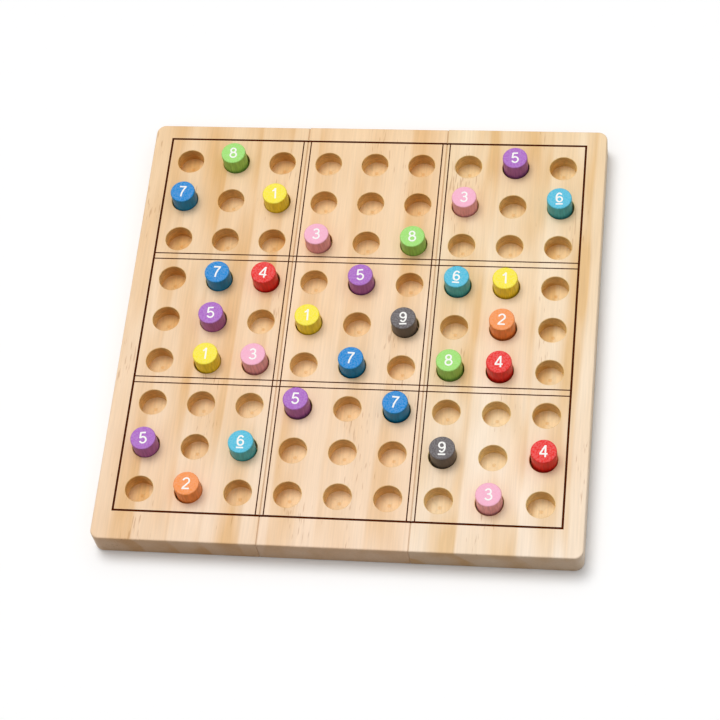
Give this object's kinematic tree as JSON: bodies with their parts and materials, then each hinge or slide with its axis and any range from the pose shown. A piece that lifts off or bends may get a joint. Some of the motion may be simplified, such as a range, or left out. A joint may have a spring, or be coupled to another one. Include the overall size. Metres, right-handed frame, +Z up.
{
  "type": "sudoku board",
  "caption": "Square sudoku board of pine planks joined edge to edge, with a grid of blind round sockets, burnt block lines and loose lacquered number pegs that lift out.",
  "frame": {"origin": "middle of the board on its underside", "axes": "+Z up, out of the sockets; +X to the right and +Y to the back for a player who reads the numerals"},
  "size_m": [0.3002, 0.305, 0.0288],
  "materials": {
    "pine": "planed, satin oil",
    "beech": "turned, bare",
    "yellow_lacquer": "gloss lacquer on turned wood",
    "orange_lacquer": "gloss lacquer on turned wood",
    "pink_lacquer": "gloss lacquer on turned wood",
    "red_lacquer": "gloss lacquer on turned wood",
    "purple_lacquer": "gloss lacquer on turned wood",
    "turquoise_lacquer": "gloss lacquer on turned wood",
    "blue_lacquer": "gloss lacquer on turned wood",
    "green_lacquer": "gloss lacquer on turned wood",
    "grey_lacquer": "gloss lacquer on turned wood",
    "white_ink": "printed ink"
  },
  "bodies": {
    "board": {"left_plank": "pine", "middle_plank": "pine", "right_plank": "pine", "left_seam_dowel_1": "beech", "left_seam_dowel_2": "beech", "left_seam_dowel_3": "beech", "left_seam_dowel_4": "beech", "right_seam_dowel_1": "beech", "right_seam_dowel_2": "beech", "right_seam_dowel_3": "beech", "right_seam_dowel_4": "beech"},
    "peg_row1_col2": {"peg_row1_col2": "green_lacquer"},
    "peg_row1_col8": {"peg_row1_col8": "purple_lacquer"},
    "peg_row2_col1": {"peg_row2_col1": "blue_lacquer"},
    "peg_row2_col3": {"peg_row2_col3": "yellow_lacquer"},
    "peg_row2_col7": {"peg_row2_col7": "pink_lacquer"},
    "peg_row2_col9": {"peg_row2_col9": "turquoise_lacquer"},
    "peg_row3_col4": {"peg_row3_col4": "pink_lacquer"},
    "peg_row3_col6": {"peg_row3_col6": "green_lacquer"},
    "peg_row4_col2": {"peg_row4_col2": "blue_lacquer"},
    "peg_row4_col3": {"peg_row4_col3": "red_lacquer"},
    "peg_row4_col5": {"peg_row4_col5": "purple_lacquer"},
    "peg_row4_col7": {"peg_row4_col7": "turquoise_lacquer"},
    "peg_row4_col8": {"peg_row4_col8": "yellow_lacquer"},
    "peg_row5_col2": {"peg_row5_col2": "purple_lacquer"},
    "peg_row5_col4": {"peg_row5_col4": "yellow_lacquer"},
    "peg_row5_col6": {"peg_row5_col6": "grey_lacquer"},
    "peg_row5_col8": {"peg_row5_col8": "orange_lacquer"},
    "peg_row6_col2": {"peg_row6_col2": "yellow_lacquer"},
    "peg_row6_col3": {"peg_row6_col3": "pink_lacquer"},
    "peg_row6_col5": {"peg_row6_col5": "blue_lacquer"},
    "peg_row6_col7": {"peg_row6_col7": "green_lacquer"},
    "peg_row6_col8": {"peg_row6_col8": "red_lacquer"},
    "peg_row7_col4": {"peg_row7_col4": "purple_lacquer"},
    "peg_row7_col6": {"peg_row7_col6": "blue_lacquer"},
    "peg_row8_col1": {"peg_row8_col1": "purple_lacquer"},
    "peg_row8_col3": {"peg_row8_col3": "turquoise_lacquer"},
    "peg_row8_col7": {"peg_row8_col7": "grey_lacquer"},
    "peg_row8_col9": {"peg_row8_col9": "red_lacquer"},
    "peg_row9_col2": {"peg_row9_col2": "orange_lacquer"},
    "peg_row9_col8": {"peg_row9_col8": "pink_lacquer"}
  },
  "joints": [
    {"name": "peg_row1_col2_lift", "type": "slide", "parent": "board", "child": "peg_row1_col2", "axis": [0, 0, 1], "range_m": [0, 0.025]},
    {"name": "peg_row1_col8_lift", "type": "slide", "parent": "board", "child": "peg_row1_col8", "axis": [0, 0, 1], "range_m": [0, 0.025]},
    {"name": "peg_row2_col1_lift", "type": "slide", "parent": "board", "child": "peg_row2_col1", "axis": [0, 0, 1], "range_m": [0, 0.025]},
    {"name": "peg_row2_col3_lift", "type": "slide", "parent": "board", "child": "peg_row2_col3", "axis": [0, 0, 1], "range_m": [0, 0.025]},
    {"name": "peg_row2_col7_lift", "type": "slide", "parent": "board", "child": "peg_row2_col7", "axis": [0, 0, 1], "range_m": [0, 0.025]},
    {"name": "peg_row2_col9_lift", "type": "slide", "parent": "board", "child": "peg_row2_col9", "axis": [0, 0, 1], "range_m": [0, 0.025]},
    {"name": "peg_row3_col4_lift", "type": "slide", "parent": "board", "child": "peg_row3_col4", "axis": [0, 0, 1], "range_m": [0, 0.025]},
    {"name": "peg_row3_col6_lift", "type": "slide", "parent": "board", "child": "peg_row3_col6", "axis": [0, 0, 1], "range_m": [0, 0.025]},
    {"name": "peg_row4_col2_lift", "type": "slide", "parent": "board", "child": "peg_row4_col2", "axis": [0, 0, 1], "range_m": [0, 0.025]},
    {"name": "peg_row4_col3_lift", "type": "slide", "parent": "board", "child": "peg_row4_col3", "axis": [0, 0, 1], "range_m": [0, 0.025]},
    {"name": "peg_row4_col5_lift", "type": "slide", "parent": "board", "child": "peg_row4_col5", "axis": [0, 0, 1], "range_m": [0, 0.025]},
    {"name": "peg_row4_col7_lift", "type": "slide", "parent": "board", "child": "peg_row4_col7", "axis": [0, 0, 1], "range_m": [0, 0.025]},
    {"name": "peg_row4_col8_lift", "type": "slide", "parent": "board", "child": "peg_row4_col8", "axis": [0, 0, 1], "range_m": [0, 0.025]},
    {"name": "peg_row5_col2_lift", "type": "slide", "parent": "board", "child": "peg_row5_col2", "axis": [0, 0, 1], "range_m": [0, 0.025]},
    {"name": "peg_row5_col4_lift", "type": "slide", "parent": "board", "child": "peg_row5_col4", "axis": [0, 0, 1], "range_m": [0, 0.025]},
    {"name": "peg_row5_col6_lift", "type": "slide", "parent": "board", "child": "peg_row5_col6", "axis": [0, 0, 1], "range_m": [0, 0.025]},
    {"name": "peg_row5_col8_lift", "type": "slide", "parent": "board", "child": "peg_row5_col8", "axis": [0, 0, 1], "range_m": [0, 0.025]},
    {"name": "peg_row6_col2_lift", "type": "slide", "parent": "board", "child": "peg_row6_col2", "axis": [0, 0, 1], "range_m": [0, 0.025]},
    {"name": "peg_row6_col3_lift", "type": "slide", "parent": "board", "child": "peg_row6_col3", "axis": [0, 0, 1], "range_m": [0, 0.025]},
    {"name": "peg_row6_col5_lift", "type": "slide", "parent": "board", "child": "peg_row6_col5", "axis": [0, 0, 1], "range_m": [0, 0.025]},
    {"name": "peg_row6_col7_lift", "type": "slide", "parent": "board", "child": "peg_row6_col7", "axis": [0, 0, 1], "range_m": [0, 0.025]},
    {"name": "peg_row6_col8_lift", "type": "slide", "parent": "board", "child": "peg_row6_col8", "axis": [0, 0, 1], "range_m": [0, 0.025]},
    {"name": "peg_row7_col4_lift", "type": "slide", "parent": "board", "child": "peg_row7_col4", "axis": [0, 0, 1], "range_m": [0, 0.025]},
    {"name": "peg_row7_col6_lift", "type": "slide", "parent": "board", "child": "peg_row7_col6", "axis": [0, 0, 1], "range_m": [0, 0.025]},
    {"name": "peg_row8_col1_lift", "type": "slide", "parent": "board", "child": "peg_row8_col1", "axis": [0, 0, 1], "range_m": [0, 0.025]},
    {"name": "peg_row8_col3_lift", "type": "slide", "parent": "board", "child": "peg_row8_col3", "axis": [0, 0, 1], "range_m": [0, 0.025]},
    {"name": "peg_row8_col7_lift", "type": "slide", "parent": "board", "child": "peg_row8_col7", "axis": [0, 0, 1], "range_m": [0, 0.025]},
    {"name": "peg_row8_col9_lift", "type": "slide", "parent": "board", "child": "peg_row8_col9", "axis": [0, 0, 1], "range_m": [0, 0.025]},
    {"name": "peg_row9_col2_lift", "type": "slide", "parent": "board", "child": "peg_row9_col2", "axis": [0, 0, 1], "range_m": [0, 0.025]},
    {"name": "peg_row9_col8_lift", "type": "slide", "parent": "board", "child": "peg_row9_col8", "axis": [0, 0, 1], "range_m": [0, 0.025]}
  ]
}
